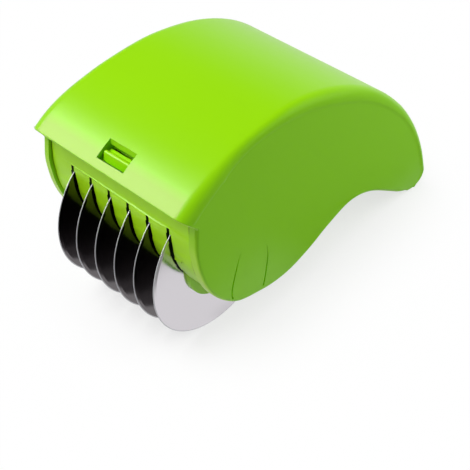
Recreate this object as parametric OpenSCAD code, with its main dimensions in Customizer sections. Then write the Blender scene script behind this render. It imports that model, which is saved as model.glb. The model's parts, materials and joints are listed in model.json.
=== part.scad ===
// Rolling herb chopper: a hinged hood over a roller of six round blades.
// The model is built round the axle and then set on the board at the end.
// X runs along the axle, the blades face -Y and the tail lies towards +Y.

/* [Blades] */
// Diameter of each round blade
blade_d = 56; // [50:1:60]
// Thickness of each blade
blade_t = 0.45; // [0.3:0.05:0.8]
// Width of the ground bevel at the rim
bevel_w = 1.2; // [0.6:0.1:2]
// Thickness left at the cutting edge
edge_t = 0.15; // [0.1:0.01:0.25]

/* [Roller] */
// Diameter of the axle where it carries the blades
axle_d = 6; // [5:0.5:8]
// Width across the two flats of the axle
axle_flat = 5; // [4:0.25:6]
// Diameter of the axle's end journals
journal_d = 4.5; // [3:0.5:5]
// Diameter of the spacers between the blades
spacer_d = 15; // [12:0.5:16]
// Diameter of the end hubs
hub_d = 28; // [22:1:32]
// Thickness of an end hub's flange
hub_flange_t = 1.2; // [0.8:0.1:1.6]
// Diameter of an end hub's sleeve
hub_sleeve_d = 13; // [10:0.5:16]
// Width of an end hub, from the outermost blade to its bush
hub_w = 2.825; // [2:0.025:4]
// Diameter of the retaining clips
clip_d = 8; // [7:0.5:9]
// Thickness of the retaining clips
clip_t = 0.6; // [0.4:0.1:0.8]

/* [Hood] */
// Overall width of the hood
hood_w = 64; // [62:1:76]
// Height of the ridge above the board
ridge_h = 76; // [70:1:84]
// How far the ridge lies behind the axle
ridge_back = 12; // [8:1:16]
// Radius of the roof in front of the ridge
front_arc_r = 57; // [52:1:64]
// Radius of the roof behind the ridge
mid_arc_r = 84; // [78:1:92]
// Angle that the middle arc of the roof covers
mid_arc_deg = 34; // [28:1:40]
// Radius of the roof towards the tail
rear_arc_r = 76; // [70:1:82]
// Angle of the roof between the ridge and the front lip
lip_deg = 36.5; // [34:0.5:39]
// Thickness of the roof
roof_t = 2.2; // [1.8:0.1:3]
// Thickness of the side walls
side_t = 3; // [2.4:0.1:3.6]
// Radius of the rolled edge between roof and side walls
edge_r = 3; // [2.4:0.1:4]
// Depth of the rolled skirt that runs along the roof
skirt_h = 8; // [6:0.5:10]
// Radius of the rounded tail
tail_r = 5.5; // [5:0.1:7]
// Thickness of the ribs inside the hood
rib_t = 1.4; // [1:0.1:2]
// Height of the cross ribs under the roof
cross_rib_h = 5; // [3:0.5:8]
// Half width of the axle guides inside the side walls
guide_half_w = 5.4; // [4.8:0.1:6]

/* [Latch] */
// Width of the window in the lip
window_w = 11.4; // [10:0.2:14]
// Angle of the window's front edge from the ridge
window_front_deg = 34; // [32:0.5:35]
// Angle of the window's rear edge from the ridge
window_rear_deg = 26.8; // [24:0.2:28]
// Depth of the pocket round the window
pocket_h = 6; // [5:0.5:7]
// Wall of the pocket
pocket_t = 1.6; // [1.2:0.1:2]
// Overhang of the ledge that the latch hooks
ledge_w = 1.4; // [0.8:0.1:1.8]
// Thickness of that ledge
ledge_t = 1.2; // [0.8:0.1:1.6]
// Radius of the latch's rounded head
head_r = 1.6; // [1.2:0.1:2]
// Diameter of the latch pin
latch_pin_d = 2; // [1.5:0.1:2.5]
// Depth of the latch pin under the outside of the roof
latch_depth = 12; // [11:0.2:13]
// Angle of the latch pin from the ridge
latch_deg = 30.25; // [29:0.25:31]
// Wire diameter of the latch spring
spring_wire_d = 0.6; // [0.4:0.1:0.8]

/* [Lower shell] */
// Thickness of the lower shell and the comb
shell_t = 1.8; // [1.5:0.1:2.4]
// How far the lower shell lies inside the hood's lower edge
shell_inset = 0.7; // [0.5:0.1:1.2]
// Thickness of the cheeks that carry the axle
cheek_t = 2; // [1.6:0.1:2.4]
// Room between a cheek and the side wall of the hood
cheek_room = 1.8; // [1.6:0.1:2.2]
// Radius of the cheek round the axle
cheek_boss_r = 7; // [6:0.5:7.5]
// Width of the slots in the comb
slot_w = 1.1; // [0.9:0.1:1.6]
// Height of the slots above the blades' rims
slot_top = 0.65; // [0.4:0.05:1.2]
// Height of the comb's top edge above the lower edge of the lip
comb_top = 4.1; // [3:0.1:4.6]
// Diameter of the hinge pin
hinge_pin_d = 3; // [2:0.25:3.5]
// Outer diameter of the hinge knuckle
knuckle_d = 5.8; // [5:0.1:6]
// Outer diameter of the axle bushes
bush_d = 9; // [8:0.5:10]
// Diameter of the bush flanges
bush_flange_d = 11; // [10:0.5:12]
// Diameter of the screws' threads
screw_d = 2.2; // [1.8:0.1:2.6]
// Diameter of the screws' heads
screw_head_d = 4.2; // [3.6:0.1:5]
// Height of the screws' heads
screw_head_t = 1.1; // [0.8:0.1:1.4]

/* [Fits] */
// Radial clearance of a part that turns
run_gap = 0.06; // [0.03:0.01:0.1]
// Radial clearance of a part that is pushed in
push_gap = 0.02; // [0.01:0.01:0.04]
// Gap between parts that pass each other
pass_gap = 0.6; // [0.4:0.1:0.8]
// Axial play between parts that turn against each other
axial_gap = 0.3; // [0.2:0.05:0.4]

/* [Hidden] */
$fn = 96;
over = 1;
blade_count = 6;

half_w = hood_w / 2;
blade_r = blade_d / 2;
// Height of the ridge above the axle
ridge_z = ridge_h - blade_r;
// Centres of the three roof arcs, as [y, z] from the axle
front_c = [ridge_back, ridge_z - front_arc_r];
mid_c = [ridge_back, ridge_z - mid_arc_r];
rear_c = mid_c + (mid_arc_r - rear_arc_r) * [sin(mid_arc_deg), cos(mid_arc_deg)];
// The hinge sits in the middle of the rounded tail, which stands on the board
hinge_z = tail_r - blade_r;
hinge_y = rear_c.x + sqrt(pow(rear_arc_r - tail_r, 2) - pow(hinge_z - rear_c.y, 2));
hinge = [hinge_y, hinge_z];
// Angle at which the roof runs into the rounded tail
tail_deg = 90 - atan2(hinge_z - rear_c.y, hinge_y - rear_c.x);

// Positions across the width, from the side walls inwards to the outermost blades
wall_x = half_w - side_t;
shell_x = wall_x - pass_gap;
cheek_out_x = wall_x - cheek_room;
cheek_in_x = cheek_out_x - cheek_t;
bush_in_x = cheek_in_x - pass_gap;
hub_out_x = bush_in_x - axial_gap;
outer_blade_x = hub_out_x - hub_w;
// Distance from one blade to the next
blade_pitch = (2 * outer_blade_x - blade_t) / (blade_count - 1);
tongue_x = shell_x - side_t;
clip_in_x = cheek_out_x + axial_gap;
axle_end_x = clip_in_x + clip_t + axial_gap;

// Place of a point on a circle round a centre, with the angle from +Z towards +Y
function polar(c, r, a) = c + r * [sin(a), cos(a)];
function unit(v) = v / norm(v);

// Lower edge of the side walls from the corner of the front lip to the tail. In front of the axle
// and above it the shares are of that corner, behind it of the hinge distance, and below it of the
// blade radius
lip = polar(front_c, front_arc_r - skirt_h, -lip_deg);
edge_shares = [[-1.021, 0.903], [-1.051, 0.728], [-1.026, 0.553], [-0.94, 0.375], [-0.778, 0.145],
               [-0.581, -0.064], [-0.354, -0.271], [-0.071, -0.45], [0.061, -0.566], [0.15, -0.616],
               [0.242, -0.612], [0.352, -0.534], [0.45, -0.43], [0.559, -0.35], [0.636, -0.371],
               [0.709, -0.461], [0.77, -0.582], [0.834, -0.735], [0.886, -0.857], [0.94, -0.955],
               [1, -1]];
edge_knots = concat([lip], [for (s = edge_shares)
    [s.x * (s.x < 0 ? -lip.x : hinge_y), s.y * (s.y > 0 ? lip.y : blade_r)]]);

// Smooth curve through a list of points, with a few steps between neighbours
function knot(p, i) = p[max(0, min(len(p) - 1, i))];
function between(p, i, t) =
    (2 * knot(p, i) + (knot(p, i + 1) - knot(p, i - 1)) * t
     + (2 * knot(p, i - 1) - 5 * knot(p, i) + 4 * knot(p, i + 1) - knot(p, i + 2)) * t * t
     + (3 * knot(p, i) - knot(p, i - 1) - 3 * knot(p, i + 1) + knot(p, i + 2)) * t * t * t) / 2;
function smooth(p, steps) = concat([for (i = [0 : len(p) - 2], k = [0 : steps - 1]) between(p, i, k / steps)],
                                   [p[len(p) - 1]]);
// The same curve moved sideways, towards the inside of the hood
function inside(p, d) = [for (i = [0 : len(p) - 1])
    let (t = unit(knot(p, i + 1) - knot(p, i - 1))) p[i] + d * [-t.y, t.x]];
function reversed(p) = [for (i = [len(p) - 1 : -1 : 0]) p[i]];

lower_edge = smooth(edge_knots, 4);
shell_out = inside(lower_edge, shell_inset);
shell_in = inside(lower_edge, shell_inset + shell_t);

// Outline of roof and tail moved inwards by d, from the angle lip before the ridge to the board
function roof_line(d, lip) = concat(
    [for (k = [0 : 8]) polar(front_c, front_arc_r - d, -lip * (1 - k / 8))],
    [for (k = [1 : 8]) polar(mid_c, mid_arc_r - d, mid_arc_deg * k / 8)],
    [for (k = [1 : 12]) polar(rear_c, rear_arc_r - d, mid_arc_deg + (tail_deg - mid_arc_deg) * k / 12)],
    [for (k = [1 : 6]) polar(hinge, tail_r - d, tail_deg + (180 - tail_deg) * k / 6)]);

// Sets a part on the board, with the origin under the middle of the whole chopper
tail_end_y = hinge_y + tail_r;
mid_y = (tail_end_y - blade_r) / 2;
module placed() {
    translate([0, -mid_y, blade_r]) children();
}

// Solid with an outline in Y and Z, from x0 to x1
module slab(x0, x1) {
    translate([x0, 0, 0]) rotate([90, 0, 90]) linear_extrude(x1 - x0) children();
}

// Cylinder along X from x0 to x1, round the point c
module bar(c, r, x0, x1) {
    translate([x0, c.x, c.y]) rotate([0, 90, 0]) cylinder(r = r, h = x1 - x0);
}

// Section swept round the point c from angle a0 to a1; its X is the radius, its Y runs along the axle
module swept(c, a0, a1) {
    translate([0, c.x, c.y]) rotate([90, 0, 90]) rotate([0, 0, 90 - a1])
        rotate_extrude(angle = a1 - a0, $fn = 180) children();
}

// Body of the hood with its rolled edges, before it is hollowed and cut along its lower edge
edge_steps = 6;
past_lip_share = 1.15;
past_lip = past_lip_share * lip_deg;
module hood_block() {
    hull() for (k = [0 : edge_steps]) {
        x = half_w - edge_r * (1 - cos(90 * k / edge_steps));
        d = edge_r * (1 - sin(90 * k / edge_steps));
        slab(-x, x) polygon(concat(roof_line(d, past_lip), [[-blade_r, -blade_r]]));
    }
}

// Side view of the hood, with room above the roof
module side_outline() {
    polygon(concat(roof_line(-over, lip_deg), reversed(lower_edge)));
}

module hollow() {
    slab(-wall_x, wall_x) polygon(concat(roof_line(roof_t, past_lip),
                                         [[hinge_y, -blade_r - over], [-blade_r, -blade_r - over]]));
}

// Inverted U that guides an end of the axle as the hood closes
guide_lean = atan2(-hinge_z, hinge_y);
module guide_outline() {
    intersection() {
        difference() {
            guide_shape(guide_half_w + rib_t);
            guide_shape(guide_half_w);
        }
        polygon(concat([hinge], inside(lower_edge, rib_t / 2)));
    }
}

module guide_shape(w) {
    circle(r = w);
    rotate(-guide_lean) translate([-w, -blade_r]) square([2 * w, blade_r]);
}

// Pocket round the latch window. The front of its floor is left as the ledge that the latch hooks
window_x = window_w / 2;
pocket_low = front_arc_r - pocket_h;
pocket_deg = atan(pocket_t / front_arc_r);
ledge_deg = atan(ledge_w / pocket_low);

module pocket_box() {
    swept(front_c, -window_front_deg - pocket_deg, -window_rear_deg + pocket_deg)
        translate([pocket_low, -window_x - pocket_t])
            square([pocket_h - roof_t / 2, window_w + 2 * pocket_t]);
}

module window_cut() {
    swept(front_c, -window_front_deg, -window_rear_deg)
        translate([pocket_low + ledge_t, -window_x]) square([pocket_h, window_w]);
    swept(front_c, -window_front_deg + ledge_deg, -window_rear_deg)
        translate([pocket_low - over, -window_x]) square([pocket_h, window_w]);
}

// Cross rib under the roof at the distance y behind the axle
module cross_rib(y) {
    z = rear_c.y + sqrt(pow(rear_arc_r - roof_t / 2, 2) - pow(y - rear_c.x, 2));
    translate([-wall_x - side_t / 2, y, z - cross_rib_h - roof_t / 2])
        cube([2 * wall_x + side_t, rib_t, cross_rib_h + roof_t / 4]);
}
cross_rib_shares = [0.62, 0.8];

// Draws its children on the right and mirrored on the left
module both() {
    children();
    mirror([1, 0, 0]) children();
}

module hood_shell() {
    placed() color([0.60, 0.88, 0.02]) difference() {
        union() {
            difference() {
                intersection() {
                    hood_block();
                    slab(-half_w - over, half_w + over) side_outline();
                }
                hollow();
            }
            pocket_box();
            both() {
                slab(clip_in_x, wall_x + side_t / 2) guide_outline();
                bar(hinge, tail_r - roof_t / 2, tongue_x + axial_gap, wall_x + side_t / 2);
            }
            for (share = cross_rib_shares) cross_rib(share * hinge_y);
        }
        window_cut();
        bar(hinge, hinge_pin_d / 2 + push_gap, -wall_x, wall_x);
    }
}

module hinge_pin() {
    placed() color([0.75, 0.76, 0.78]) bar(hinge, hinge_pin_d / 2, push_gap - wall_x, wall_x - push_gap);
}

// Outline of the belly of the lower shell, from behind the blades to the hinge
belly_from = 47;
belly_to = 68;
knuckle_shares = [[-0.5, -0.125], [0, 0.5]];
function run(p, a, b) = [for (i = [a : b]) p[i]];
module belly_outline() {
    polygon(concat(run(shell_out, belly_from, belly_to),
                   [for (s = knuckle_shares) hinge + s * knuckle_d],
                   reversed(run(shell_in, belly_from, belly_to))));
}

// Outline of a cheek: along the comb, under the axle, to the belly and back over the axle
cheek_from = 6;
cheek_to = 24;
against_shell = inside(lower_edge, shell_inset + shell_t + push_gap);
cheek_front = run(against_shell, cheek_from, cheek_to);
cheek_shares = [[0.02, -0.25], [0.90, -0.50], [1.55, -0.32], [1.60, -0.26], [0.70, 0.16], [0.05, 0.42],
                [-0.28, 0.86]];
comb_screw_shares = [0.653, 0.479];
comb_screw = [comb_screw_shares.x * lip.x, comb_screw_shares.y * lip.y];

// Screws that hold the scraper to the belly
scraper_screw_x = 2 * blade_pitch;
scraper_screw_shares = [1.28, -0.415];
scraper_screw = scraper_screw_shares * blade_r;
screw_l = 4.2;

module lower_shell() {
    placed() color([0.55, 0.82, 0.06]) difference() {
        union() {
            slab(-shell_x, shell_x) belly_outline();
            bar(hinge, knuckle_d / 2, -tongue_x, tongue_x);
            both() {
                slab(cheek_in_x, cheek_out_x) polygon(concat(cheek_front, cheek_shares * blade_r));
                bar([0, 0], cheek_boss_r, cheek_in_x, cheek_out_x);
            }
        }
        bar(hinge, hinge_pin_d / 2 + run_gap, -half_w, half_w);
        both() {
            bar([0, 0], bush_d / 2 + push_gap, cheek_in_x - over, cheek_out_x + over);
            bar(comb_screw, screw_d / 2 + push_gap, cheek_in_x - over, cheek_out_x + over);
            tongue_cut();
            at_scraper_screw() {
                cylinder(r = screw_d / 2 + push_gap, h = screw_l);
                translate([0, 0, -blade_r]) cylinder(r = screw_head_d / 2 + push_gap, h = blade_r);
            }
        }
    }
}

module at_scraper_screw() {
    translate([scraper_screw_x, scraper_screw.x, scraper_screw.y]) children();
}

// Clears the belly's corner beside the hinge for the bosses of the hood
tongue_share = 0.88;
module tongue_cut() {
    translate([tongue_x, tongue_share * hinge_y, -blade_r - over])
        cube([half_w - tongue_x, hinge_y, blade_r + over]);
}

// Latch pin and the ears that hold it. Their points are shares of the pin's depth, from the pin
latch_c = polar(front_c, front_arc_r - latch_depth, -latch_deg);
ear_wall = 1.3;
ear_t = 1.6;
ear_x = window_x - axial_gap;
ear_shares = [[-0.44, -0.43], [-0.10, -0.385], [0.30, -0.08], [0.37, -0.08], [0.37, 0.50],
              [0.26, 0.50], [0.19, 0.13], [-0.44, -0.01]];
stop_shares = [[0.26, -0.08], [0.37, 0.50]];
function under_latch(s) = latch_c + s * latch_depth;
comb_end = 25;
boss_wall = 1.3;

function blade_x(k) = (k - (blade_count - 1) / 2) * blade_pitch;

module front_comb() {
    placed() color([0.57, 0.83, 0.08]) difference() {
        union() {
            slab(-shell_x, shell_x) comb_outline();
            both() {
                comb_boss();
                slab(ear_x, ear_x + ear_t) polygon([for (s = ear_shares) under_latch(s)]);
                bar(latch_c, latch_pin_d / 2 + ear_wall, ear_x, ear_x + ear_t);
            }
            spring_stop();
        }
        for (k = [0 : blade_count - 1])
            translate([blade_x(k) - slot_w / 2, -blade_r, -blade_r])
                cube([slot_w, blade_r, blade_r + slot_z]);
        translate([-pocket_x, -blade_r, shell_in[0].y])
            cube([2 * pocket_x, blade_r + shell_in[0].x, blade_r]);
        bar([0, 0], spacer_d / 2 + pass_gap, -half_w, half_w);
        bar(latch_c, latch_pin_d / 2 + push_gap, -half_w, half_w);
        both() {
            bar([0, 0], hub_d / 2 + pass_gap, outer_blade_x, outer_blade_x + hub_flange_t + pass_gap);
            bar(comb_screw, screw_d / 2 + push_gap, outer_blade_x + boss_wall, half_w);
        }
    }
}

// Side view of the comb, which rises behind the lip to leave no gap there
pocket_x = window_x + pocket_t + pass_gap;
comb_z = lip.y + comb_top;
slot_z = sqrt(pow(blade_r, 2) - pow(shell_in[0].x, 2)) + slot_top;
module comb_outline() {
    polygon(concat([[shell_out[0].x, comb_z]], run(shell_out, 0, comb_end),
                   reversed(run(shell_in, 0, comb_end)), [[shell_in[0].x, comb_z]]));
}

// Boss inside each end of the comb, for the screw that comes through the cheek
module comb_boss() {
    r = screw_d / 2 + boss_wall;
    bar(comb_screw, r, outer_blade_x + pass_gap, cheek_in_x - push_gap);
    translate([outer_blade_x + pass_gap, comb_screw.x - 2 * r, comb_screw.y - r])
        cube([cheek_in_x - push_gap - outer_blade_x - pass_gap, 2 * r, 2 * r]);
}

// Wall between the ears that the latch spring pushes against
module spring_stop() {
    low = under_latch(stop_shares[0]);
    high = under_latch(stop_shares[1]);
    translate([-ear_x, low.x, low.y]) cube([2 * ear_x, high.x - low.x, high.y - low.y]);
}

// Toothed bar behind the roller that keeps the cuttings out of the hood
scraper_from = 48;
scraper_to = 52;
scraper_shares = [[1.37, -0.16], [1.045, -0.20], [1.045, -0.34]];
tooth_shares = [[0.33, 1.1], [-0.35, -0.27]];

module rear_scraper() {
    placed() color([0.88, 0.88, 0.86]) difference() {
        union() {
            slab(pass_gap - cheek_in_x, cheek_in_x - pass_gap)
                polygon(concat(run(against_shell, scraper_from, scraper_to), scraper_shares * blade_r));
            for (k = [1 : blade_count - 1]) scraper_tooth(k);
        }
        both() at_scraper_screw() cylinder(r = screw_d / 2 + push_gap, h = screw_l);
    }
}

module scraper_tooth(k) {
    w = blade_pitch - blade_t - 2 * pass_gap;
    low = [tooth_shares[0][0], tooth_shares[1][0]] * blade_r;
    high = [tooth_shares[0][1], tooth_shares[1][1]] * blade_r;
    translate([blade_x(k) - (blade_pitch + w) / 2, low.x, low.y]) cube([w, high.x - low.x, high.y - low.y]);
}

module left_bush() {
    mirror([1, 0, 0]) right_bush();
}

module right_bush() {
    placed() color([0.93, 0.93, 0.90]) difference() {
        union() {
            bar([0, 0], bush_d / 2, cheek_in_x, cheek_out_x);
            bar([0, 0], bush_flange_d / 2, bush_in_x, cheek_in_x);
        }
        bar([0, 0], journal_d / 2 + run_gap, bush_in_x - over, cheek_out_x + over);
    }
}

// One screw along +Z with its head below zero
module screw() {
    translate([0, 0, -screw_head_t]) cylinder(r = screw_head_d / 2, h = screw_head_t);
    cylinder(r = screw_d / 2, h = screw_l - push_gap);
}

module shell_screws() {
    placed() color([0.72, 0.73, 0.75]) both() {
        at_scraper_screw() screw();
        translate([cheek_out_x, comb_screw.x, comb_screw.y]) rotate([0, -90, 0]) screw();
    }
}

module latch_pin() {
    placed() color([0.75, 0.76, 0.78]) bar(latch_c, latch_pin_d / 2, -ear_x - ear_t, ear_x + ear_t);
}

// The latch: a lever on the pin, with a rounded head in the window and a hook over the ledge
head_proud_share = 0.1;
head_deg = -window_front_deg + atan((head_r + axial_gap) / front_arc_r);
head_low = pocket_low + ledge_t + axial_gap / 2;
head_high = front_arc_r - roof_t * (1 - head_proud_share);
head_half_deg = atan(head_r / front_arc_r);
neck_deg = -window_front_deg + ledge_deg + atan(axial_gap / pocket_low);
head_x0 = -window_x + pass_gap;
head_x1 = window_x - axial_gap;
arm_x = ear_x - axial_gap;
arm_wall = 0.9;
arm_dir = unit(polar(front_c, pocket_low, head_deg) - latch_c);
arm_side = (latch_pin_d / 2 + arm_wall) * [arm_dir.y, -arm_dir.x];
seat_shares = [[-0.19, 0.18], [0.06, 0.45]];

module latch_tab() {
    placed() color([0.57, 0.85, 0.05]) difference() {
        union() {
            bar(polar(front_c, head_high, head_deg), head_r, head_x0, head_x1);
            swept(front_c, head_deg - head_half_deg, head_deg + head_half_deg)
                translate([head_low, head_x0]) square([head_high - head_low, head_x1 - head_x0]);
            slab(-arm_x, arm_x) polygon([
                polar(front_c, head_low + axial_gap, neck_deg),
                polar(front_c, head_low + axial_gap, head_deg + head_half_deg),
                latch_c + arm_side,
                latch_c - arm_side,
                polar(front_c, pocket_low - axial_gap, neck_deg)]);
            bar(latch_c, latch_pin_d / 2 + arm_wall, -arm_x, arm_x);
            spring_seat();
        }
        bar(latch_c, latch_pin_d / 2 + run_gap, -half_w, half_w);
    }
}

// Small compression spring between the latch and the wall behind it
spring_r = 1.4;
module spring_seat() {
    low = under_latch(seat_shares[0]);
    high = under_latch(seat_shares[1]);
    x = spring_r + arm_wall;
    translate([-x, low.x, low.y]) cube([2 * x, high.x - low.x, high.y - low.y]);
}

module latch_spring() {
    y0 = under_latch(seat_shares[1]).x + push_gap;
    y1 = under_latch(stop_shares[0]).x - push_gap;
    z = (under_latch(seat_shares[0]).y + under_latch(seat_shares[1]).y) / 2;
    placed() color([0.75, 0.76, 0.78]) translate([0, y0, z]) rotate([-90, 0, 0]) difference() {
        cylinder(r = spring_r, h = y1 - y0);
        translate([0, 0, -over]) cylinder(r = spring_r - spring_wire_d, h = y1 - y0 + 2 * over);
    }
}

// Round bar with two flats, as the axle and the bores of what it drives
module flatted(r, flat, h) {
    intersection() {
        cylinder(r = r, h = h);
        translate([-r, -flat / 2, -over]) cube([2 * r, flat, h + 2 * over]);
    }
}

module axle_bore(h) {
    translate([0, 0, -over]) flatted(axle_d / 2 + push_gap, axle_flat + 2 * push_gap, h + 2 * over);
}

module axle() {
    placed() color([0.75, 0.76, 0.78]) {
        translate([-hub_out_x, 0, 0]) rotate([0, 90, 0]) flatted(axle_d / 2, axle_flat, 2 * hub_out_x);
        both() bar([0, 0], journal_d / 2, hub_out_x, axle_end_x);
    }
}

module blade(k) {
    r = blade_r;
    placed() color([0.80, 0.80, 0.83]) translate([blade_x(k) - blade_t / 2, 0, 0]) rotate([0, 90, 0])
        difference() {
            rotate_extrude($fn = 180) polygon([[0, 0], [r - bevel_w, 0], [r, (blade_t - edge_t) / 2],
                                               [r, (blade_t + edge_t) / 2], [r - bevel_w, blade_t],
                                               [0, blade_t]]);
            axle_bore(blade_t);
        }
}

module spacer(k) {
    w = blade_pitch - blade_t;
    placed() color([0.88, 0.88, 0.86]) translate([blade_x(k) + blade_t / 2, 0, 0]) rotate([0, 90, 0])
        difference() {
            cylinder(r = spacer_d / 2, h = w);
            axle_bore(w);
        }
}

module right_hub() {
    placed() color([0.45, 0.70, 0.08]) translate([outer_blade_x, 0, 0]) rotate([0, 90, 0]) difference() {
        union() {
            cylinder(r = hub_d / 2, h = hub_flange_t);
            cylinder(r = hub_sleeve_d / 2, h = hub_w);
        }
        axle_bore(hub_w);
    }
}

module left_hub() {
    mirror([1, 0, 0]) right_hub();
}

// Snap ring on the journal, open at the top
clip_mouth_share = 0.67;
clip_mouth = clip_mouth_share * journal_d;
module right_clip() {
    placed() color([0.55, 0.56, 0.58]) difference() {
        bar([0, 0], clip_d / 2, clip_in_x, clip_in_x + clip_t);
        bar([0, 0], journal_d / 2 + push_gap, clip_in_x - over, clip_in_x + clip_t + over);
        translate([clip_in_x - over, -clip_mouth / 2, 0]) cube([clip_t + 2 * over, clip_mouth, clip_d]);
    }
}

module left_clip() {
    mirror([1, 0, 0]) right_clip();
}

hood_shell();
hinge_pin();
lower_shell();
front_comb();
rear_scraper();
left_bush();
right_bush();
shell_screws();
latch_pin();
latch_tab();
latch_spring();
axle();
blade(0);  // blade_1
blade(1);  // blade_2
blade(2);  // blade_3
blade(3);  // blade_4
blade(4);  // blade_5
blade(5);  // blade_6
spacer(0);  // spacer_1
spacer(1);  // spacer_2
spacer(2);  // spacer_3
spacer(3);  // spacer_4
spacer(4);  // spacer_5
left_hub();
right_hub();
left_clip();
right_clip();
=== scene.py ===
import json
import math
import bpy
from mathutils import Matrix, Vector


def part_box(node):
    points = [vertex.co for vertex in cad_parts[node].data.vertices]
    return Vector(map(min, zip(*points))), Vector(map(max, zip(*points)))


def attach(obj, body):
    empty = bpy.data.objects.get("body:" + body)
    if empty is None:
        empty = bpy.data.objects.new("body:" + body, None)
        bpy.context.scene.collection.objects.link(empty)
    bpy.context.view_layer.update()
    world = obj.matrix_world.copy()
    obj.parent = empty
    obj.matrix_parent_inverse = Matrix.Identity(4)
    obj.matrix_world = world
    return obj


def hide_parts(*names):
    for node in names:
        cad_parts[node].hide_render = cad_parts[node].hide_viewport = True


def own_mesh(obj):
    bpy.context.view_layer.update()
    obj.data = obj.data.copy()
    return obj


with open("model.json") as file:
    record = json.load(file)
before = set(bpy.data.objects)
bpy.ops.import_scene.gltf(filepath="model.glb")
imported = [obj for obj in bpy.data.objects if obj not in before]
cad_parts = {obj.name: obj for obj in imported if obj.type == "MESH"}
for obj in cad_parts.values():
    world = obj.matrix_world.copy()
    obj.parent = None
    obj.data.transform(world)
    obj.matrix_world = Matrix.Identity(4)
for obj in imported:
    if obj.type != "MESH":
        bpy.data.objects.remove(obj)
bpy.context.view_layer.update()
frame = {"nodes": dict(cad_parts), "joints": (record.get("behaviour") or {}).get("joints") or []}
mm = 0.001
sameLevel, samePlace = 1e-6, 1e-5  # in metres: what lies closer than this counts as level or as one place
curveSteps = 6  # points per knot in the soft curves
bladeCount = 6
jointPlaces = {joint["name"]: joint["pos_m"] for joint in frame["joints"]}
axleY, axleZ = jointPlaces["roller_spin"][1:]
print("frame loaded:", len(frame["nodes"]), "CAD nodes")


# shaping helpers; outlines are (y, z) in mm from the axle's centre

def fromAxle(x, y, z):
    return Vector((x * mm, axleY + y * mm, axleZ + z * mm))


def sidePlace(co):  # the y and z in mm from the axle of a place in the row frame
    return (co.y - axleY) / mm, (co.z - axleZ) / mm


def within(share):
    return min(max(share, 0), 1)


def ease(share):  # a straight rise from 0 to 1 made soft at both ends
    return share * share * (3 - 2 * share)


def polar(arc, degrees, inwards=0.0):  # arc is (y, z, radius), the angle runs from straight up to the tail
    angle, radius = math.radians(degrees), arc[2] - inwards
    return arc[0] + radius * math.sin(angle), arc[1] + radius * math.cos(angle)


def between(a, b, c, d, t):  # a value t of the way from b to c, on a soft curve that also heeds a and d
    bend = (2 * a - 5 * b + 4 * c - d) * t * t
    return (2 * b + (c - a) * t + bend + (3 * b - a - 3 * c + d) * t ** 3) / 2


def smoothLine(knots, steps):  # a soft curve through given knots
    line = []
    last = len(knots) - 1
    for i in range(last):
        around = [knots[min(max(i + shift, 0), last)] for shift in (-1, 0, 1, 2)]
        line += [tuple(between(*four, k / steps) for four in zip(*around)) for k in range(steps)]
    return line + [knots[-1]]


def only(piece):  # makes one piece the selected and active one
    bpy.ops.object.select_all(action="DESELECT")
    piece.select_set(True)
    bpy.context.view_layer.objects.active = piece


def pick(piece, faces=None, edges=None):  # selects by a test on faces or edges' ends, and enters edit mode
    only(piece)
    mesh = piece.data
    bpy.ops.object.mode_set(mode="EDIT")
    bpy.ops.mesh.select_mode(type="FACE" if faces else "EDGE")
    bpy.ops.mesh.select_all(action="DESELECT")
    bpy.ops.object.mode_set(mode="OBJECT")
    if faces:
        for face in mesh.polygons:
            face.select = bool(faces(face))
    else:
        for edge in mesh.edges:
            edge.select = bool(edges(*(mesh.vertices[i].co for i in edge.vertices)))
    bpy.ops.object.mode_set(mode="EDIT")


def pickAll(piece):
    pick(piece, faces=lambda face: True)


def leave():
    bpy.ops.object.mode_set(mode="OBJECT")


def prism(name, outline, left, right):  # a filled circle set on the outline, then drawn out across the part
    bpy.ops.object.select_all(action="DESELECT")
    bpy.ops.mesh.primitive_circle_add(vertices=len(outline), fill_type="NGON")
    piece = bpy.context.object
    piece.name = name
    for corner, (y, z) in zip(piece.data.vertices, outline):
        corner.co = fromAxle(left, y, z)
    bpy.ops.object.mode_set(mode="EDIT")
    bpy.ops.mesh.select_all(action="SELECT")
    bpy.ops.mesh.extrude_region_move(TRANSFORM_OT_translate={"value": ((right - left) * mm, 0, 0)})
    bpy.ops.mesh.select_all(action="SELECT")
    bpy.ops.mesh.normals_make_consistent(inside=False)
    leave()
    return piece


def roundPicked(radius, segments):  # rounds the picked edges and leaves edit mode
    bpy.ops.mesh.bevel(offset_type="OFFSET", offset=radius * mm, segments=segments, profile=0.5,
                       affect="EDGES", clamp_overlap=False)
    leave()


def sliceAt(places, axis):  # cuts what is picked at each place along one axis, and leaves edit mode
    normal = [1.0 if k == axis else 0.0 for k in range(3)]
    for place in places:
        spot = [place if k == axis else 0.0 for k in range(3)]
        bpy.ops.mesh.bisect(plane_co=spot, plane_no=normal)
    leave()


def modify(piece, kind, **settings):
    only(piece)
    modifier = piece.modifiers.new(kind.lower(), kind)
    for key, value in settings.items():
        setattr(modifier, key, value)
    bpy.ops.object.modifier_apply(modifier=modifier.name)


def cut(piece, cutter, operation="DIFFERENCE"):
    modify(piece, "BOOLEAN", operation=operation, object=cutter, solver="EXACT")
    bpy.data.objects.remove(cutter, do_unlink=True)


def softEdges(piece, width, angle):  # rounds all edges that turn by more than the angle
    modify(piece, "BEVEL", width=width * mm, segments=3, limit_method="ANGLE",
           angle_limit=math.radians(angle), use_clamp_overlap=True, harden_normals=False)


def smooth(piece, angle=30):
    only(piece)
    bpy.ops.object.shade_smooth_by_angle(angle=math.radians(angle))


def evenNormals(piece):  # lets the large faces lead, so that thin strips beside them don't show as creases
    modify(piece, "WEIGHTED_NORMAL", keep_sharp=True, weight=80)


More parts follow.
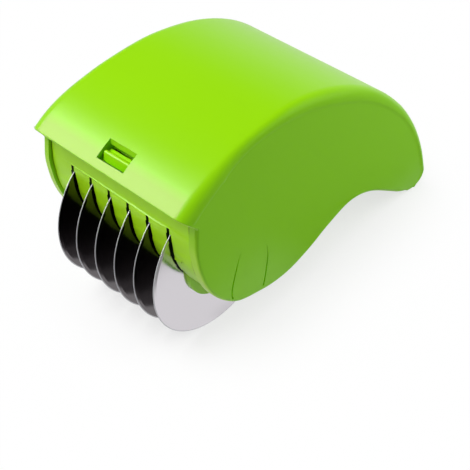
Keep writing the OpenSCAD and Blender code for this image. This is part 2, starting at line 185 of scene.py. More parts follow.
def mergedCopy(node):  # a CAD node's mesh as one closed skin, to be cut
    piece = frame["nodes"][node].copy()
    piece.data = frame["nodes"][node].data.copy()
    piece.parent = None
    bpy.context.scene.collection.objects.link(piece)
    piece.data.materials.clear()
    only(piece)
    bpy.ops.object.mode_set(mode="EDIT")
    bpy.ops.mesh.select_all(action="SELECT")
    bpy.ops.mesh.remove_doubles(threshold=samePlace)
    leave()
    return piece


def joinPieces(first, *others):
    only(first)
    for piece in others:
        piece.select_set(True)
    bpy.ops.object.join()


def coat(piece, material):
    piece.data.materials.clear()
    piece.data.materials.append(material)


# materials

def linear(hexColour):
    values = [int(hexColour[i:i + 2], 16) / 255 for i in (1, 3, 5)]
    return tuple(v / 12.92 if v <= 0.04045 else ((v + 0.055) / 1.055) ** 2.4 for v in values) + (1.0,)


def add(tree, kind, settings=None, **links):  # adds a node with its settings, its inputs linked or set
    node = tree.nodes.new(kind)
    for key, value in (settings or {}).items():
        setattr(node, key, value)
    for key, value in links.items():
        socket = node.inputs[int(key[2:])] if key.startswith("in") else node.inputs[key.replace("_", " ")]
        if isinstance(value, bpy.types.NodeSocket):
            tree.links.new(value, socket)
        else:
            socket.default_value = value
    return node


def maths(tree, operation, *values):
    sockets = {"in%d" % k: value for k, value in enumerate(values)}
    return add(tree, "ShaderNodeMath", {"operation": operation}, **sockets).outputs[0]


def ranged(tree, value, low, high, start=0.0, end=1.0):  # low to high becomes start to end, and stops there
    node = add(tree, "ShaderNodeMapRange", Value=value, From_Min=low, From_Max=high, To_Min=start, To_Max=end)
    return node.outputs[0]


def sideways(tree, vector):  # how far a place or a normal goes to either side
    return maths(tree, "ABSOLUTE", add(tree, "ShaderNodeSeparateXYZ", Vector=vector).outputs["X"])


def facing(tree, normal, direction):  # 1 where a face looks along the direction, 0 where it stands across it
    node = add(tree, "ShaderNodeVectorMath", {"operation": "DOT_PRODUCT"}, in0=normal, in1=direction)
    return node.outputs["Value"]


def noise(tree, place, scale, detail):
    return add(tree, "ShaderNodeTexNoise", Vector=place, Scale=scale, Detail=detail).outputs["Fac"]


def blendColours(tree, share, first, second):  # each colour is a hex colour or a socket
    first, second = (linear(colour) if isinstance(colour, str) else colour for colour in (first, second))
    return add(tree, "ShaderNodeMix", {"data_type": "RGBA"}, in0=share, in6=first, in7=second).outputs[2]


def blendLevels(tree, share, first, second):
    return add(tree, "ShaderNodeMix", {"data_type": "FLOAT"}, in0=share, in2=first, in3=second).outputs[0]


def newMaterial(name):
    material = bpy.data.materials.new(name)
    material.use_nodes = True
    tree = material.node_tree
    tree.nodes.clear()
    shader = add(tree, "ShaderNodeBsdfPrincipled")
    output = add(tree, "ShaderNodeOutputMaterial")
    tree.links.new(shader.outputs["BSDF"], output.inputs["Surface"])
    place = add(tree, "ShaderNodeTexCoord").outputs["Object"]
    return material, tree, shader, place


def finishSurface(tree, shader, colour, roughness, height, strength, distance):  # height is for the bump
    bump = add(tree, "ShaderNodeBump", Strength=strength, Distance=distance, Height=height)
    tree.links.new(colour, shader.inputs["Base Color"])
    tree.links.new(roughness, shader.inputs["Roughness"])
    tree.links.new(bump.outputs["Normal"], shader.inputs["Normal"])


# a painted tone fades in between two shares of how far a face looks along its direction; the side tone's is
# sideways
absTones = {
    "wallTone": (0.35, 1.0), "cloudShare": 0.12,
    "lipTone": (0.980, 0.993), "lipFacing": (0.0, -0.592, 0.806),
    "rimTone": (0.4, 0.8), "rimFacing": (0.0, -0.6, -0.8),
}


def mouldedAbs(name, base, lip, paintedSideColour, edge, roughness):
    # injection moulded ABS from a polished mould: even colour, soft gloss, very slight orange peel. Faces
    # that look sideways get painted shade (painted light on the hub), the lip that faces forward and up gets
    # a painted shade of duller, yellower green where its highlight falls, and light is painted on the rims
    # that face forward and down
    material, tree, shader, place = newMaterial(name)
    normal = add(tree, "ShaderNodeTexCoord").outputs["Normal"]
    cloud = noise(tree, place, scale=45.0, detail=3.0)
    # painted side tone: faces that look sideways take the side colour, a painted shade (painted light on the
    # hub)
    clouded = maths(tree, "MULTIPLY_ADD", cloud, absTones["cloudShare"], sideways(tree, normal))
    paintedSideShare = ranged(tree, clouded, *absTones["wallTone"])
    # painted shade on the lip that faces forward and up, where its highlight falls
    paintedLipShare = ranged(tree, facing(tree, normal, absTones["lipFacing"]), *absTones["lipTone"])
    # painted light on the rims that face forward and down
    rim = ranged(tree, facing(tree, normal, absTones["rimFacing"]), *absTones["rimTone"])
    wall = blendColours(tree, paintedSideShare, blendColours(tree, paintedLipShare, base, lip), paintedSideColour)
    colour = blendColours(tree, rim, wall, edge)
    peel = noise(tree, place, scale=420.0, detail=2.0)  # about 2.4 mm from hump to hump
    gloss = ranged(tree, peel, 0.0, 1.0, start=roughness - 0.03, end=roughness + 0.04)
    finishSurface(tree, shader, colour, gloss, peel, strength=0.05, distance=0.2 * mm)
    shader.inputs["IOR"].default_value = 1.53
    shader.inputs["Specular IOR Level"].default_value = 0.25
    return material


# colours after the name: the plastic's own, the lip's painted shade, the sides' painted shade (painted light
# on the hub), the rims' painted light
hoodAbs = mouldedAbs("hoodAbs", "#9BE200", "#9CCC14", "#8AD400", "#C4FA34", 0.3)
shellAbs = mouldedAbs("shellAbs", "#94D800", "#94D800", "#8AD000", "#94D800", 0.36)
# the comb's side colour is painted shade, near black, for the walls of its narrow slots
combAbs = mouldedAbs("combAbs", "#B8F80C", "#B8F80C", "#16300A", "#B6F60E", 0.34)
hubAbs = mouldedAbs("hubAbs", "#A9EE1E", "#A9EE1E", "#B4F43C", "#A9EE1E", 0.34)
latchAcetal = mouldedAbs("latchAcetal", "#A2E80A", "#A2E80A", "#8ED400", "#B0F018", 0.28)


def moulded(name, tone, shade, roughness):
    # matt moulded acetal: dull white with a faint mottled gloss
    material, tree, shader, place = newMaterial(name)
    cloud = noise(tree, place, scale=260.0, detail=3.0)
    colour = blendColours(tree, cloud, tone, shade)
    gloss = ranged(tree, cloud, 0.0, 1.0, start=roughness - 0.08, end=roughness + 0.08)
    finishSurface(tree, shader, colour, gloss, cloud, strength=0.08, distance=0.2 * mm)
    shader.inputs["IOR"].default_value = 1.48
    return material


whiteAcetal = moulded("whiteAcetal", "#E4E4DE", "#D6D6D0", 0.45)


def axleDistance(tree, place):  # how far a point lies from the axle's centre line, in metres
    centred = add(tree, "ShaderNodeMapping", Vector=place, Location=(0.0, -axleY, -axleZ))
    flat = add(tree, "ShaderNodeVectorMath", {"operation": "MULTIPLY"}, in0=centred.outputs[0],
               in1=(0.0, 1.0, 1.0))
    return add(tree, "ShaderNodeVectorMath", {"operation": "LENGTH"}, in0=flat.outputs[0]).outputs["Value"]


# in metres: past these lie the ground rim, from the axle, and the outer faces of the two outermost blades,
# free of the painted shade
bladeBands = {"rim": (0.0276, 0.0278), "outer": (0.02120, 0.02130), "rimRoughness": 0.6}


def polishedBlade(name, tone, inner, ground, roughness):
    # cold rolled stainless strip, its faces polished in rings and its rim ground: a mirror with a hair of
    # circular grain, and a duller band at the edge. The faces between the blades get a darker painted shade
    material, tree, shader, place = newMaterial(name)
    radius = axleDistance(tree, place)
    # rings 0.5 mm apart, drawn coarser than the real 0.05 mm so that they show
    rings = add(tree, "ShaderNodeTexNoise", {"noise_dimensions": "1D"}, W=radius, Scale=2000.0, Detail=3.0)
    mixed = maths(tree, "MULTIPLY", rings.outputs["Fac"], noise(tree, place, scale=900.0, detail=2.0))
    gloss = ranged(tree, mixed, 0.0, 0.5, start=roughness - 0.03, end=roughness + 0.05)
    rim = ranged(tree, radius, *bladeBands["rim"])
    dull = blendLevels(tree, rim, gloss, bladeBands["rimRoughness"])
    # painted shade: every face but the outer faces of the two outermost blades takes the darker inner tone
    face = blendColours(tree, ranged(tree, sideways(tree, place), *bladeBands["outer"]), inner, tone)
    colour = blendColours(tree, rim, face, ground)
    finishSurface(tree, shader, colour, dull, rings.outputs["Fac"], strength=0.04, distance=0.1 * mm)
    shader.inputs["Metallic"].default_value = 1.0
    return material


def workedSteel(name, tone, shade, roughness, stretch):
    # turned, drawn or punched steel: fine marks along the way it was worked
    material, tree, shader, place = newMaterial(name)
    along = add(tree, "ShaderNodeMapping", Vector=place, Scale=stretch)
    marks = noise(tree, along.outputs[0], scale=1.0, detail=3.0)
    colour = blendColours(tree, marks, tone, shade)
    gloss = ranged(tree, marks, 0.0, 1.0, start=roughness - 0.06, end=roughness + 0.08)
    finishSurface(tree, shader, colour, gloss, marks, strength=0.1, distance=0.05 * mm)
    shader.inputs["Metallic"].default_value = 1.0
    return material


# the second colour is painted shade for the faces between the blades
bladeSteel = polishedBlade("bladeSteel", "#DDD9DE", "#6E6A6C", "#D0D0D4", 0.14)
# turning marks 0.25 mm apart on the axle, and drawing lines along the pins' wire
axleSteel = workedSteel("axleSteel", "#C6C7C9", "#B4B5B8", 0.28, (4000, 300, 300))
pinSteel = workedSteel("pinSteel", "#C8C9CC", "#B8B9BC", 0.22, (300, 3000, 3000))
screwSteel = workedSteel("screwSteel", "#BDBEC2", "#A8A9AD", 0.3, (1500, 1500, 1500))
clipSteel = workedSteel("clipSteel", "#8E8F93", "#7C7D82", 0.36, (2500, 2500, 2500))
springSteel = workedSteel("springSteel", "#C2C3C6", "#A9AAAE", 0.25, (2000, 2000, 2000))


# hood: one moulding whose sides flare a little towards the lip and the lower edge. Lengths are in mm and
# angles in degrees, from straight up to the tail

hood = {
    # the roof's arcs as (y, z, radius), the lip's angle forward of the top, and where the next two arcs end
    "front": (12, -9, 57), "middle": (12, -36, 84), "rear": (16.474, -29.368, 76),
    "tail": (86.638, -22.5, 5.5), "lipAngle": 36.5, "middleAngle": 34, "tailAngle": 84.41,
    "arcSteps": (20, 16, 26, 12),
    # how far the roof lies under its arcs, by angle
    "sag": [(-36.5, 0.2), (-30, 0.55), (-22, 1.2), (-15, 1.8), (-7, 2.15), (0, 2.3), (5, 2.1), (10, 1.7),
            (16, 1.45), (22, 1.25), (30, 0.95), (40, 0.6), (55, 0.2), (70, 0.0), (180, 0.0)],
    # half the width: as first drawn, and then at the roof and at the lower edge, by y
    "halfWidth": 32,
    "roofHalf": [(-24, 33.5), (-13, 33.1), (-5.6, 32.5), (1, 31.7), (9, 31.2), (18, 31.0), (35, 31.0),
                 (47, 31.5), (60, 31.8), (75, 32.3), (93, 32.6)],
    "lowHalf": [(-24, 33.2), (0, 33.0), (40, 33.0), (60, 32.8), (75, 32.6), (93, 32.6)],
    "flareDepth": 45, "leftFlare": 1.5, "leftFlareFrom": 8, "leftFlareReach": 24,
    # round the tail's arc, only what lies past this angle belongs to the roof
    "roofOnTail": 80,
    # radius of the roll between roof and sides: as first drawn, and then by angle. What lies less than the
    # skin under a panel or the roof moves with the roll, and less and less further along
    "rollStart": 4.0, "rollSteps": 8, "skin": 1.0, "slack": 0.01, "panelFade": 12, "roofFade": 20,
    "roll": [(-36.5, 4.4), (-22, 4.1), (-15, 3.6), (-7, 3.1), (0, 3.0), (8, 3.4), (14, 3.9), (20, 4.2),
             (31, 4.3), (50, 3.6), (70, 2.4), (84, 1.8), (110, 1.3), (180, 1.2)],
    # the lip runs forward towards its middle and right
    "bow": 1.3, "bowFrom": -34, "bowAngle": -18, "bowMost": 1.1, "bowDepth": 7,
    # side panels
    "recess": 0.35, "recessBand": 1.1, "panelCorners": 60, "panelNormal": 0.999,
    "gridStep": 5.0, "gridY": (-20, 92), "gridZ": (-25, 47), "roofCuts": (-24, -16, -8, 0, 8, 16, 24),
    # rims: the lip's nose, the lower edge up to its last few points at the tail, and all edges left
    "nose": 0.6, "noseSteps": 3, "noseAbove": 20, "footReach": 0.9,
    "lowerRim": 0.95, "lowerRimSteps": 4, "rimOutside": 31, "plainEnd": 4,
    "rim": 0.35, "rimTurn": 40,
    # the side's outline from the lip's corner down and back to the tail, and its points per knot
    "lowerSteps": 4,
    "lowerEdge": [(-17.6, 30.39), (-18.1, 27.4), (-18.85, 22.1), (-18.6, 16.8), (-17.9, 11.4), (-16.0, 4.4),
                  (-13.1, -1.8), (-8.7, -7.6), (-3.0, -12.4), (5.4, -15.3), (13.0, -17.0), (21.0, -17.1),
                  (30.5, -15.0), (39.0, -12.0), (48.4, -9.8), (55.1, -10.4), (61.4, -12.9), (66.7, -16.3),
                  (72.3, -20.6), (76.8, -24.0), (81.4, -26.7), (86.64, -28.0)],
}
softKnots = {name: smoothLine(hood[name], curveSteps) for name in ("sag", "roofHalf", "lowHalf", "roll")}


def knotValue(name, at):
    line = softKnots[name]
    for (start, first), (end, second) in zip(line, line[1:]):
        if at <= end:
            return first + (second - first) * max(at - start, 0) / (end - start)
    return line[-1][1]


def roofPoint(arcName, degrees, inwards=0.0):
    return polar(hood[arcName], degrees, inwards + knotValue("sag", degrees))


def roofLine(inwards=0.0, first=-hood["lipAngle"], withTail=True):
    angles = (first, 0, hood["middleAngle"], hood["tailAngle"], 180)
    line = []
    for k, arcName in enumerate(("front", "middle", "rear", "tail")[:4 if withTail else 3]):
        start, turn, steps = angles[k], angles[k + 1] - angles[k], hood["arcSteps"][k]
        line += [roofPoint(arcName, start + turn * step / steps, inwards) for step in range(steps)]
    return line + [roofPoint("tail", 180, inwards)] if withTail else line


def near(points, co, reach=0.02):
    y, z = sidePlace(co)
    return any(abs(y - point[0]) < reach and abs(z - point[1]) < reach for point in points)


def roofPlace(y, z):  # which arc of the roof a point belongs to, its angle there, and its depth under it
    lastAngles = {"front": 0, "middle": hood["middleAngle"], "rear": hood["tailAngle"], "tail": 180}
    for arcName, last in lastAngles.items():
        arc = hood[arcName]
        angle = math.degrees(math.atan2(y - arc[0], z - arc[1]))
        if angle <= last:
            break
    depth = arc[2] - math.hypot(y - arc[0], z - arc[1]) - knotValue("sag", angle)
    return arcName, angle, depth


def shapeHood(mesh):  # the roll gets its changing radius, the sides their flare and the lip its bow
    start, full = hood["rollStart"], hood["halfWidth"]
    rollEnd = start + hood["slack"]
    for corner in mesh.vertices:
        x, (y, z) = corner.co.x / mm, sidePlace(corner.co)
        side, inward = math.copysign(1, x), full - abs(x)
        arcName, angle, depth = roofPlace(y, z)
        onRoof = arcName != "tail" or angle >= hood["roofOnTail"]
        change = start - knotValue("roll", angle)
        flare = 1.0
        if onRoof:
            if inward < rollEnd and depth < rollEnd:
                inward, depth = inward * (1 - change / start), depth * (1 - change / start)
            elif inward < hood["skin"]:
                depth -= change * max(0, 1 - (depth - start) / hood["panelFade"])
            elif depth < hood["skin"]:
                inward -= change * max(0, 1 - (inward - start) / hood["roofFade"])
            flare = within(depth / hood["flareDepth"])
            if arcName == "front" and angle < hood["bowAngle"]:
                lean = ease(within((x - hood["bowFrom"]) / -hood["bowFrom"]))
                nearLip = min((hood["bowAngle"] - angle) / -hood["bowAngle"], hood["bowMost"])
                angle -= hood["bow"] * lean * nearLip * max(0, 1 - depth / hood["bowDepth"])
        flare = ease(flare)
        half = knotValue("roofHalf", y) * (1 - flare) + knotValue("lowHalf", y) * flare
        if side < 0:
            forward = within((hood["leftFlareFrom"] - y) / hood["leftFlareReach"])
            half += hood["leftFlare"] * forward * (1 + flare) / 2
        if onRoof:
            y, z = roofPoint(arcName, angle, depth)
        corner.co = fromAxle(side * (full - inward) * half / full, y, z)


def gridLines(start, end):
    step = hood["gridStep"]
    return [start + step * k for k in range(int((end - start) / step))]


def makeHood():
    roof = roofLine()
    lower = smoothLine(hood["lowerEdge"], hood["lowerSteps"])
    half, side = hood["halfWidth"], hood["halfWidth"] * mm
    panelSide = side - hood["recess"] * mm
    shell = prism("hoodMoulding", roof + lower[::-1][1:], -half, half)

    def rimTest(points, outside=0.0):  # picks edges that follow these points along a side
        return lambda a, b: (abs(a.x - b.x) < sameLevel and abs(a.x) > outside * mm
                             and near(points, a) and near(points, b))

    def isPanel(face):  # only the two panels have that many corners
        return len(face.vertices) > hood["panelCorners"]

    def onPanel(face):
        level = abs(abs(face.center.x) - panelSide) < samePlace
        return level and abs(face.normal.x) > hood["panelNormal"]

    # the roll along the roof, and side panels that lie a little below it
    pick(shell, edges=rimTest(roof))
    roundPicked(hood["rollStart"], hood["rollSteps"])
    pick(shell, faces=isPanel)
    bpy.ops.mesh.inset(thickness=hood["recessBand"] * mm, depth=-hood["recess"] * mm, use_boundary=True)
    leave()
    lowerOpen = lower[1:-1]
    for corner in shell.data.vertices:
        if abs(abs(corner.co.x) - side) < samePlace and near(lowerOpen, corner.co):
            corner.co.x = math.copysign(panelSide, corner.co.x)
    # the lower edges of the sides and the lip are rounded
    pick(shell, edges=rimTest(lower[:-hood["plainEnd"]], hood["rimOutside"]))
    roundPicked(hood["lowerRim"], hood["lowerRimSteps"])
    lip, foot = Vector(roof[0]), Vector(lower[0])
    across = Vector((foot.y - lip.y, lip.x - foot.x)).normalized()

    def onFront(co):
        away = abs((Vector(sidePlace(co)) - lip).dot(across))
        return away < hood["slack"] and co.z > axleZ + hood["noseAbove"] * mm

    def atFoot(co):
        return near([lower[0]], co, hood["footReach"])

    pick(shell, edges=lambda a, b: onFront(a) and onFront(b) and not (atFoot(a) and atFoot(b)))
    roundPicked(hood["nose"], hood["noseSteps"])
    # a grid on the panels and cuts across the roof let both take a soft curve
    pick(shell, faces=isPanel)
    sliceAt([axleY + y * mm for y in gridLines(*hood["gridY"])], 1)
    pick(shell, faces=onPanel)
    sliceAt([axleZ + z * mm for z in gridLines(*hood["gridZ"])], 2)
    pickAll(shell)
    sliceAt([x * mm for x in hood["roofCuts"]], 0)
    shapeHood(shell.data)
    return shell


# the room inside the hood, and how its walls follow the flared sides in front
cavity = {
    "roofWall": 2.2, "half": 29.0, "rightFlare": 0.9, "leftFlare": 2.5, "flareFrom": 2, "flareReach": 24,
    "firstAngle": -44, "rearLean": 0.6, "bottom": -31, "frontEnd": -32,
    "ribsIntoRoof": 0.5, "ribsOffWall": 0.05,
}


def flareAt(y, full):  # how far a wall stands outside its place at the back
    return full * max(cavity["flareFrom"] - y, 0) / cavity["flareReach"]


def hoodCavity(name, inwards, half, flares=(0.0, 0.0)):  # flares on the left and the right
    outline = roofLine(inwards, first=cavity["firstAngle"], withTail=False)
    bottom = cavity["bottom"]
    outline += [roofPoint("rear", hood["tailAngle"], inwards), (outline[-1][0] + cavity["rearLean"], bottom),
                (cavity["frontEnd"], bottom)]
    block = prism(name, outline, -half, half)
    pickAll(block)
    sliceAt([axleY + cavity["flareFrom"] * mm], 1)
    for corner in block.data.vertices:
        flare = flareAt(sidePlace(corner.co)[0], flares[corner.co.x > 0])
        corner.co.x += math.copysign(flare * mm, corner.co.x)
    return block


# faint line on each side panel over the way that the axle takes when the hood closes
trackMark = {
    "width": 0.6, "floor": 32.1, "outside": 36,
    "way": [(-5.8, -9.0), (-5.8, -4.9), (-1.3, 5.6), (0.3, 7.4), (3.5, 8.0), (8.7, 4.8), (11.1, -0.6),
            (9.8, -8.0), (7.7, -14.0)],
}


def markCutter(side):
    way = smoothLine(trackMark["way"], curveSteps)
    left, right = [], []
    for i, (y, z) in enumerate(way):
        before, after = way[max(i - 1, 0)], way[min(i + 1, len(way) - 1)]
        runY, runZ = after[0] - before[0], after[1] - before[1]
        offset = trackMark["width"] / 2 / math.hypot(runY, runZ)
        left.append((y - runZ * offset, z + runY * offset))
        right.append((y + runZ * offset, z - runY * offset))
    return prism("markCutter", left + right[::-1], side * trackMark["floor"], side * trackMark["outside"])


# the window in the lip; a ramp cut into the roof's wall leads from its rear edge down to the latch
window = {"halfWidth": 5.7, "frontAngle": -34.0, "rearAngle": -26.8, "rampAngle": -28.0, "rampDepth": 1.8,
          "cutDepth": 4, "cutAbove": 3, "rearLean": 2}


def windowCutter():
    stops = [(window["frontAngle"], -window["cutAbove"]), (window["frontAngle"], window["cutDepth"]),
             (window["rampAngle"], window["cutDepth"]), (window["rampAngle"], window["rampDepth"]),
             (window["rearAngle"], 0), (window["rearAngle"] + window["rearLean"], -window["cutAbove"])]
    return prism("windowCutter", [roofPoint("front", *stop) for stop in stops],
                 -window["halfWidth"], window["halfWidth"])


def tabPoint(along, height):  # a place by its way back from the window's front edge and its height over it
    return roofPoint("front", window["frontAngle"] + math.degrees(along / hood["front"][2]), -height)


shell = makeHood()
print("hood outline:", len(shell.data.vertices), "corners")
flares = cavity["leftFlare"], cavity["rightFlare"]
cut(shell, hoodCavity("hoodCavity", cavity["roofWall"], cavity["half"], flares))
cut(shell, windowCutter())
softEdges(shell, hood["rim"], hood["rimTurn"])
for side in (-1, 1):
    cut(shell, markCutter(side))
smooth(shell)
evenNormals(shell)
print("hood shell:", len(shell.data.polygons), "faces")

# ribs, guides, pocket and hinge bosses inside the hood come from a merged copy of its CAD solid
inner = mergedCopy("hood_shell")
ribDepth, ribHalf = cavity["roofWall"] - cavity["ribsIntoRoof"], cavity["half"] - cavity["ribsOffWall"]
cut(inner, hoodCavity("ribRoom", ribDepth, ribHalf), "INTERSECT")
cut(inner, windowCutter())
print("hood ribs:", len(inner.data.polygons), "faces")
smooth(inner)

# a step in the pocket behind the latch closes the view into the hood
pocketStep = {"front": 5.75, "back": 7.6, "top": -4.05, "bottom": -4.6, "overhang": 0.5}
stepHalf = window["halfWidth"] + pocketStep["overhang"]
pocket = prism("pocketStep", [
    tabPoint(pocketStep["front"], pocketStep["top"]), tabPoint(pocketStep["back"], pocketStep["top"]),
    tabPoint(pocketStep["back"], pocketStep["bottom"]), tabPoint(pocketStep["front"], pocketStep["bottom"]),
], -stepHalf, stepHalf)
joinPieces(shell, inner, pocket)
coat(shell, hoodAbs)
shell.name = "hoodMoulding"
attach(shell, "hood")
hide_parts("hood_shell")
print("hood made:", len(shell.data.polygons), "faces")

# latch: a ridged thumb piece takes the place of the head on the lever of its CAD solid
latch = {
    "left": -5.1, "right": 5.4, "edge": 0.3, "edgeTurn": 30,
    "headDepth": 3.3, "headAlong": (-4, 3, 12), "headTop": 6, "headHalf": 12,
    "section": [(0.35, -3.4), (0.35, -2.75), (2.3, -0.85), (2.7, -0.55), (3.2, -0.5), (3.6, -0.75),
                (3.75, -1.3), (3.85, -2.5), (5.05, -2.7), (5.05, -3.3)],
}
lever = mergedCopy("latch_tab")
headOutline = [tabPoint(along, -latch["headDepth"]) for along in latch["headAlong"]]
headOutline += [tabPoint(latch["headAlong"][k], latch["headTop"]) for k in (2, 0)]
cut(lever, prism("headCutter", headOutline, -latch["headHalf"], latch["headHalf"]))
thumb = prism("latchThumb", [tabPoint(*point) for point in latch["section"]], latch["left"], latch["right"])
softEdges(thumb, latch["edge"], latch["edgeTurn"])
smooth(thumb)
smooth(lever)
joinPieces(thumb, lever)
coat(thumb, latchAcetal)
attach(thumb, "latch")
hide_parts("latch_tab")
print("latch made:", len(thumb.data.polygons), "faces")

# comb: its CAD solid with the lower part further forward, a slight bow across, ends that come up to the
# hood's walls, and slots opened a little beside each blade, where the photograph shows them black
comb = {
    "pitch": 8.5, "slotLeft": 0.9, "slotRight": 1.15, "slotTop": 22.4, "slotBottom": -12, "slotFront": -30,
    "slotBack": -12, "leftGap": 0.5, "rightGap": 0.1, "endsFrom": 27, "levels": (-5, 2, 27, 30),
    # how far forward each height and each place across it stands
    "forward": [(-40, 1.2), (-4, 1.4), (0, 1.6), (5, 1.6), (10, 1.4), (15.6, 0.5), (20, 0.0), (40, 0.0)],
    "bow": [(-34, 0.2), (-21.25, 0.5), (-12.75, 0.8), (-4.25, 1.25), (4.25, 1.5), (12.75, 1.65), (21.25, 1.5),
            (32, 1.2)],
}
softKnots.update({name: smoothLine(comb[name], curveSteps) for name in ("forward", "bow")})


def shapeComb(mesh):
    for corner in mesh.vertices:
        y, z = sidePlace(corner.co)
        x, y = corner.co.x / mm, y - knotValue("forward", z) - knotValue("bow", corner.co.x / mm)
        if x > comb["endsFrom"]:
            x = cavity["half"] + flareAt(y, cavity["rightFlare"]) - comb["rightGap"]
        elif x < -comb["endsFrom"]:
            x = comb["leftGap"] - cavity["half"] - flareAt(y, cavity["leftFlare"])
        corner.co = fromAxle(x, y, z)


teeth = mergedCopy("front_comb")
pickAll(teeth)
sliceAt([k * comb["pitch"] / 2 * mm for k in range(-bladeCount, bladeCount + 1)], 0)
pickAll(teeth)
sliceAt([axleZ + level * mm for level in comb["levels"]], 2)
shapeComb(teeth.data)
for k in range(bladeCount):
    x = (k - (bladeCount - 1) / 2) * comb["pitch"]
    front, back, top, bottom = (comb[key] for key in ("slotFront", "slotBack", "slotTop", "slotBottom"))
    cut(teeth, prism("slotCutter", [(front, bottom), (front, top), (back, top), (back, bottom)],
                     x - comb["slotLeft"], x + comb["slotRight"]))
smooth(teeth)
evenNormals(teeth)
teeth.name = "frontComb"
coat(teeth, combAbs)
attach(teeth, "lower_body")
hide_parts("front_comb")
print("comb made:", len(teeth.data.polygons), "faces")

# CAD nodes that keep their shape

finishes = {
    "lower_shell": shellAbs, "rear_scraper": whiteAcetal, "axle": axleSteel, "left_hub": hubAbs,
    "right_hub": hubAbs, "left_bush": whiteAcetal, "right_bush": whiteAcetal, "hinge_pin": pinSteel,
    "latch_pin": pinSteel, "shell_screws": screwSteel, "left_clip": clipSteel, "right_clip": clipSteel,
}
finishes.update({"blade_%d" % (k + 1): bladeSteel for k in range(bladeCount)})
finishes.update({"spacer_%d" % (k + 1): whiteAcetal for k in range(bladeCount - 1)})
for node, material in finishes.items():
    mesh = frame["nodes"][node].data
    if not mesh.materials:
        mesh.materials.append(material)
    for k in range(len(mesh.materials)):
        mesh.materials[k] = material
print("CAD nodes painted")

# latch spring: wire wound at an even pitch, with its ends where the CAD has them
spring = {"wire": 0.3, "coil": 1.1, "turns": 4, "wireSides": 10, "stepsPerTurn": 24, "smoothTurn": 60,
          "pressed": 0.58}
low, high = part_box("latch_spring")
bpy.ops.object.select_all(action="DESELECT")
bpy.ops.mesh.primitive_circle_add(vertices=spring["wireSides"], radius=spring["wire"] * mm)
coil = bpy.context.object
coil.name = "latchSpringWire"
for corner in coil.data.vertices:
    corner.co = (spring["coil"] * mm + corner.co.x, corner.co.y, 0)
length = high[1] - low[1] - 2 * spring["wire"] * mm
modify(coil, "SCREW", axis="Y", angle=2 * math.pi, iterations=spring["turns"], steps=spring["stepsPerTurn"],
       screw_offset=length / spring["turns"], use_merge_vertices=True)
pick(coil, edges=lambda a, b: True)
bpy.ops.mesh.select_all(action="SELECT")
bpy.ops.mesh.fill_holes(sides=spring["wireSides"])
bpy.ops.mesh.select_all(action="SELECT")
bpy.ops.mesh.normals_make_consistent(inside=False)
leave()
springStart = ((low[0] + high[0]) / 2, low[1] + spring["wire"] * mm, (low[2] + high[2]) / 2)
coil.data.transform(Matrix.Translation(springStart))
smooth(coil, spring["smoothTurn"])
coat(coil, springSteel)
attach(coil, "lower_body")
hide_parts("latch_spring")
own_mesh(coil)
print("spring made:", len(coil.data.polygons), "faces")

# floor, lamps and camera; lengths are in metres

studio = {
    "floorBounce": "#CACACA", "floorSeen": "#FFFFFF", "floorSize": 4.0, "floorRoughness": 0.9,
    "farGlow": 0.99, "nearGlow": 0.70, "contactReach": 0.04, "contactRange": (0.4, 0.9),
    "ambient": 0.30, "horizonShine": 0.9, "zenithShine": 0.02, "shineEnds": 0.55,
    "keyPlace": (-0.20, -0.24, 0.60), "keySize": 0.42, "keyPower": 3.02, "keyAim": (0, -0.01, 0.04),
    "fillPlace": (0.25, 0.32, 0.18), "fillSize": 0.28, "fillPower": 0.78, "fillAim": (0, 0, 0.03),
    "boxPlace": (-0.285, -0.275, 0.38), "boxSize": 0.36, "boxPower": 3.2, "boxAim": (0, -0.05, 0.06),
}
# what metal mirrors in the floor: white, with painted shade under the blades and a painted dark patch off the
# right side
mirror = {
    "underBlades": "#7E7E7E", "openGlow": 0.85, "underGlow": 0.7, "bladesX": (0.020, 0.026),
    "bladesMiddle": 0.013, "bladesY": (0.046, 0.051),
    "cardShare": 0.8, "cardX": (0.033, 0.040), "cardY": (-0.008, 0.010), "farCardX": (0.050, 0.058),
}


def seenByCamera(tree, rays):
    return maths(tree, "MAXIMUM", rays["Is Camera Ray"], rays["Is Transmission Ray"])


def mirroredGlow(tree, place):
    spot = add(tree, "ShaderNodeSeparateXYZ", Vector=place).outputs
    lengthY = maths(tree, "ABSOLUTE", maths(tree, "SUBTRACT", spot["Y"], mirror["bladesMiddle"]))
    # painted shade on the floor under the blades, seen only in reflections
    bladesX = ranged(tree, maths(tree, "ABSOLUTE", spot["X"]), *mirror["bladesX"], 1.0, 0.0)
    bladesY = ranged(tree, lengthY, *mirror["bladesY"], 1.0, 0.0)
    shade = maths(tree, "MULTIPLY", bladesX, bladesY)
    # a painted dark patch on the floor off the right side, seen only in reflections
    cardX, cardY = ranged(tree, spot["X"], *mirror["cardX"]), ranged(tree, spot["Y"], *mirror["cardY"])
    paintedDarkNear, farCard = maths(tree, "MULTIPLY", cardX, cardY), ranged(tree, spot["X"], *mirror["farCardX"])
    card = maths(tree, "MAXIMUM", paintedDarkNear, farCard)
    offPaintedDark = ranged(tree, card, 0.0, 1.0, 1.0, 1.0 - mirror["cardShare"])
    floorGlow = ranged(tree, shade, 0.0, 1.0, mirror["openGlow"], mirror["underGlow"])
    return maths(tree, "MULTIPLY", floorGlow, offPaintedDark)


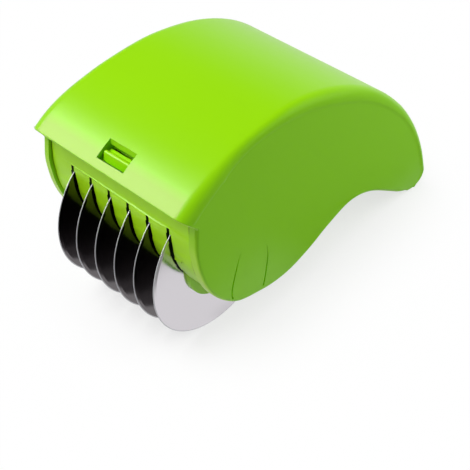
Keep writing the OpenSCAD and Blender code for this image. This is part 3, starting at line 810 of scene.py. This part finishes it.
def makeFloor():
    bpy.ops.mesh.primitive_plane_add(size=studio["floorSize"])
    floor = bpy.context.object
    floor.name = "floor"
    # white paper, lit and shaded near the piece and burnt out to white further off
    material, tree, shader, place = newMaterial("floorPaper")
    rays = add(tree, "ShaderNodeLightPath").outputs
    mirrored, seen = rays["Is Glossy Ray"], seenByCamera(tree, rays)
    # the paper mirrored in metal is a darker grey, a painted shade
    dimmed = blendColours(tree, mirrored, studio["floorBounce"], mirror["underBlades"])
    tree.links.new(blendColours(tree, seen, dimmed, studio["floorSeen"]), shader.inputs["Base Color"])
    shader.inputs["Roughness"].default_value = studio["floorRoughness"]
    shader.inputs["Specular IOR Level"].default_value = 0.0
    contact = add(tree, "ShaderNodeAmbientOcclusion", {"samples": 16}, Distance=studio["contactReach"])
    openness = contact.outputs["AO"]
    paperGlow = ranged(tree, openness, *studio["contactRange"], studio["nearGlow"], studio["farGlow"])
    seenGlow = maths(tree, "MULTIPLY", seen, paperGlow)
    mirrorGlow = maths(tree, "MULTIPLY", mirroredGlow(tree, place), mirrored)
    glow = add(tree, "ShaderNodeEmission", Color=(1.0, 1.0, 1.0, 1.0), Strength=1.0)
    blend = add(tree, "ShaderNodeMixShader", in0=maths(tree, "MAXIMUM", seenGlow, mirrorGlow),
                in1=shader.outputs[0], in2=glow.outputs[0])
    output = next(node for node in tree.nodes if node.type == "OUTPUT_MATERIAL")
    tree.links.new(blend.outputs[0], output.inputs["Surface"])
    floor.data.materials.append(material)
    return floor


floor = makeFloor()


def lamp(name, kind):
    place = Vector(studio[kind + "Place"])
    bpy.ops.object.light_add(type="AREA", location=place)
    light = bpy.context.object
    light.name = name
    light.data.shape = "DISK"
    light.data.size = studio[kind + "Size"]
    light.data.energy = studio[kind + "Power"]
    light.rotation_euler = (Vector(studio[kind + "Aim"]) - place).to_track_quat("-Z", "Y").to_euler()
    return light


keyLight, fillLight = lamp("keyLight", "key"), lamp("fillLight", "fill")
keyLight.visible_glossy = fillLight.visible_glossy = False
softBox = lamp("softBox", "box")
softBox.visible_diffuse = False


def makeRoom():  # an even light, and white walls with a dark ceiling for what shines
    world = bpy.data.worlds.new("studioRoom")
    bpy.context.scene.world = world
    world.use_nodes = True
    tree = world.node_tree
    tree.nodes.clear()
    direction = add(tree, "ShaderNodeTexCoord").outputs["Generated"]
    height = add(tree, "ShaderNodeSeparateXYZ", Vector=direction).outputs["Z"]
    room = ranged(tree, height, 0.0, studio["shineEnds"], studio["horizonShine"], studio["zenithShine"])
    rays = add(tree, "ShaderNodeLightPath").outputs
    lightLevel = blendLevels(tree, rays["Is Glossy Ray"], studio["ambient"], room)
    level = blendLevels(tree, seenByCamera(tree, rays), lightLevel, 1.0)
    background = add(tree, "ShaderNodeBackground", Color=(1.0, 1.0, 1.0, 1.0), Strength=level)
    output = add(tree, "ShaderNodeOutputWorld")
    tree.links.new(background.outputs[0], output.inputs["Surface"])


makeRoom()

view = {"place": (0.25321, -0.24545, 0.34439), "azimuth": 46.306, "elevation": 44.502, "roll": -5.006,
        "lens": 109.995, "clipStart": 0.01}
bpy.ops.object.camera_add(location=view["place"])
camera = bpy.context.object
turns = ((view["azimuth"], "Z"), (90 - view["elevation"], "X"), (view["roll"], "Z"))
azimuth, tilt, roll = (Matrix.Rotation(math.radians(degrees), 3, axis) for degrees, axis in turns)
camera.rotation_euler = (azimuth @ tilt @ roll).to_euler()
camera.data.lens = view["lens"]
camera.data.clip_start = view["clipStart"]
bpy.context.scene.camera = camera
bpy.context.scene.view_settings.view_transform = "Standard"
print("studio ready")
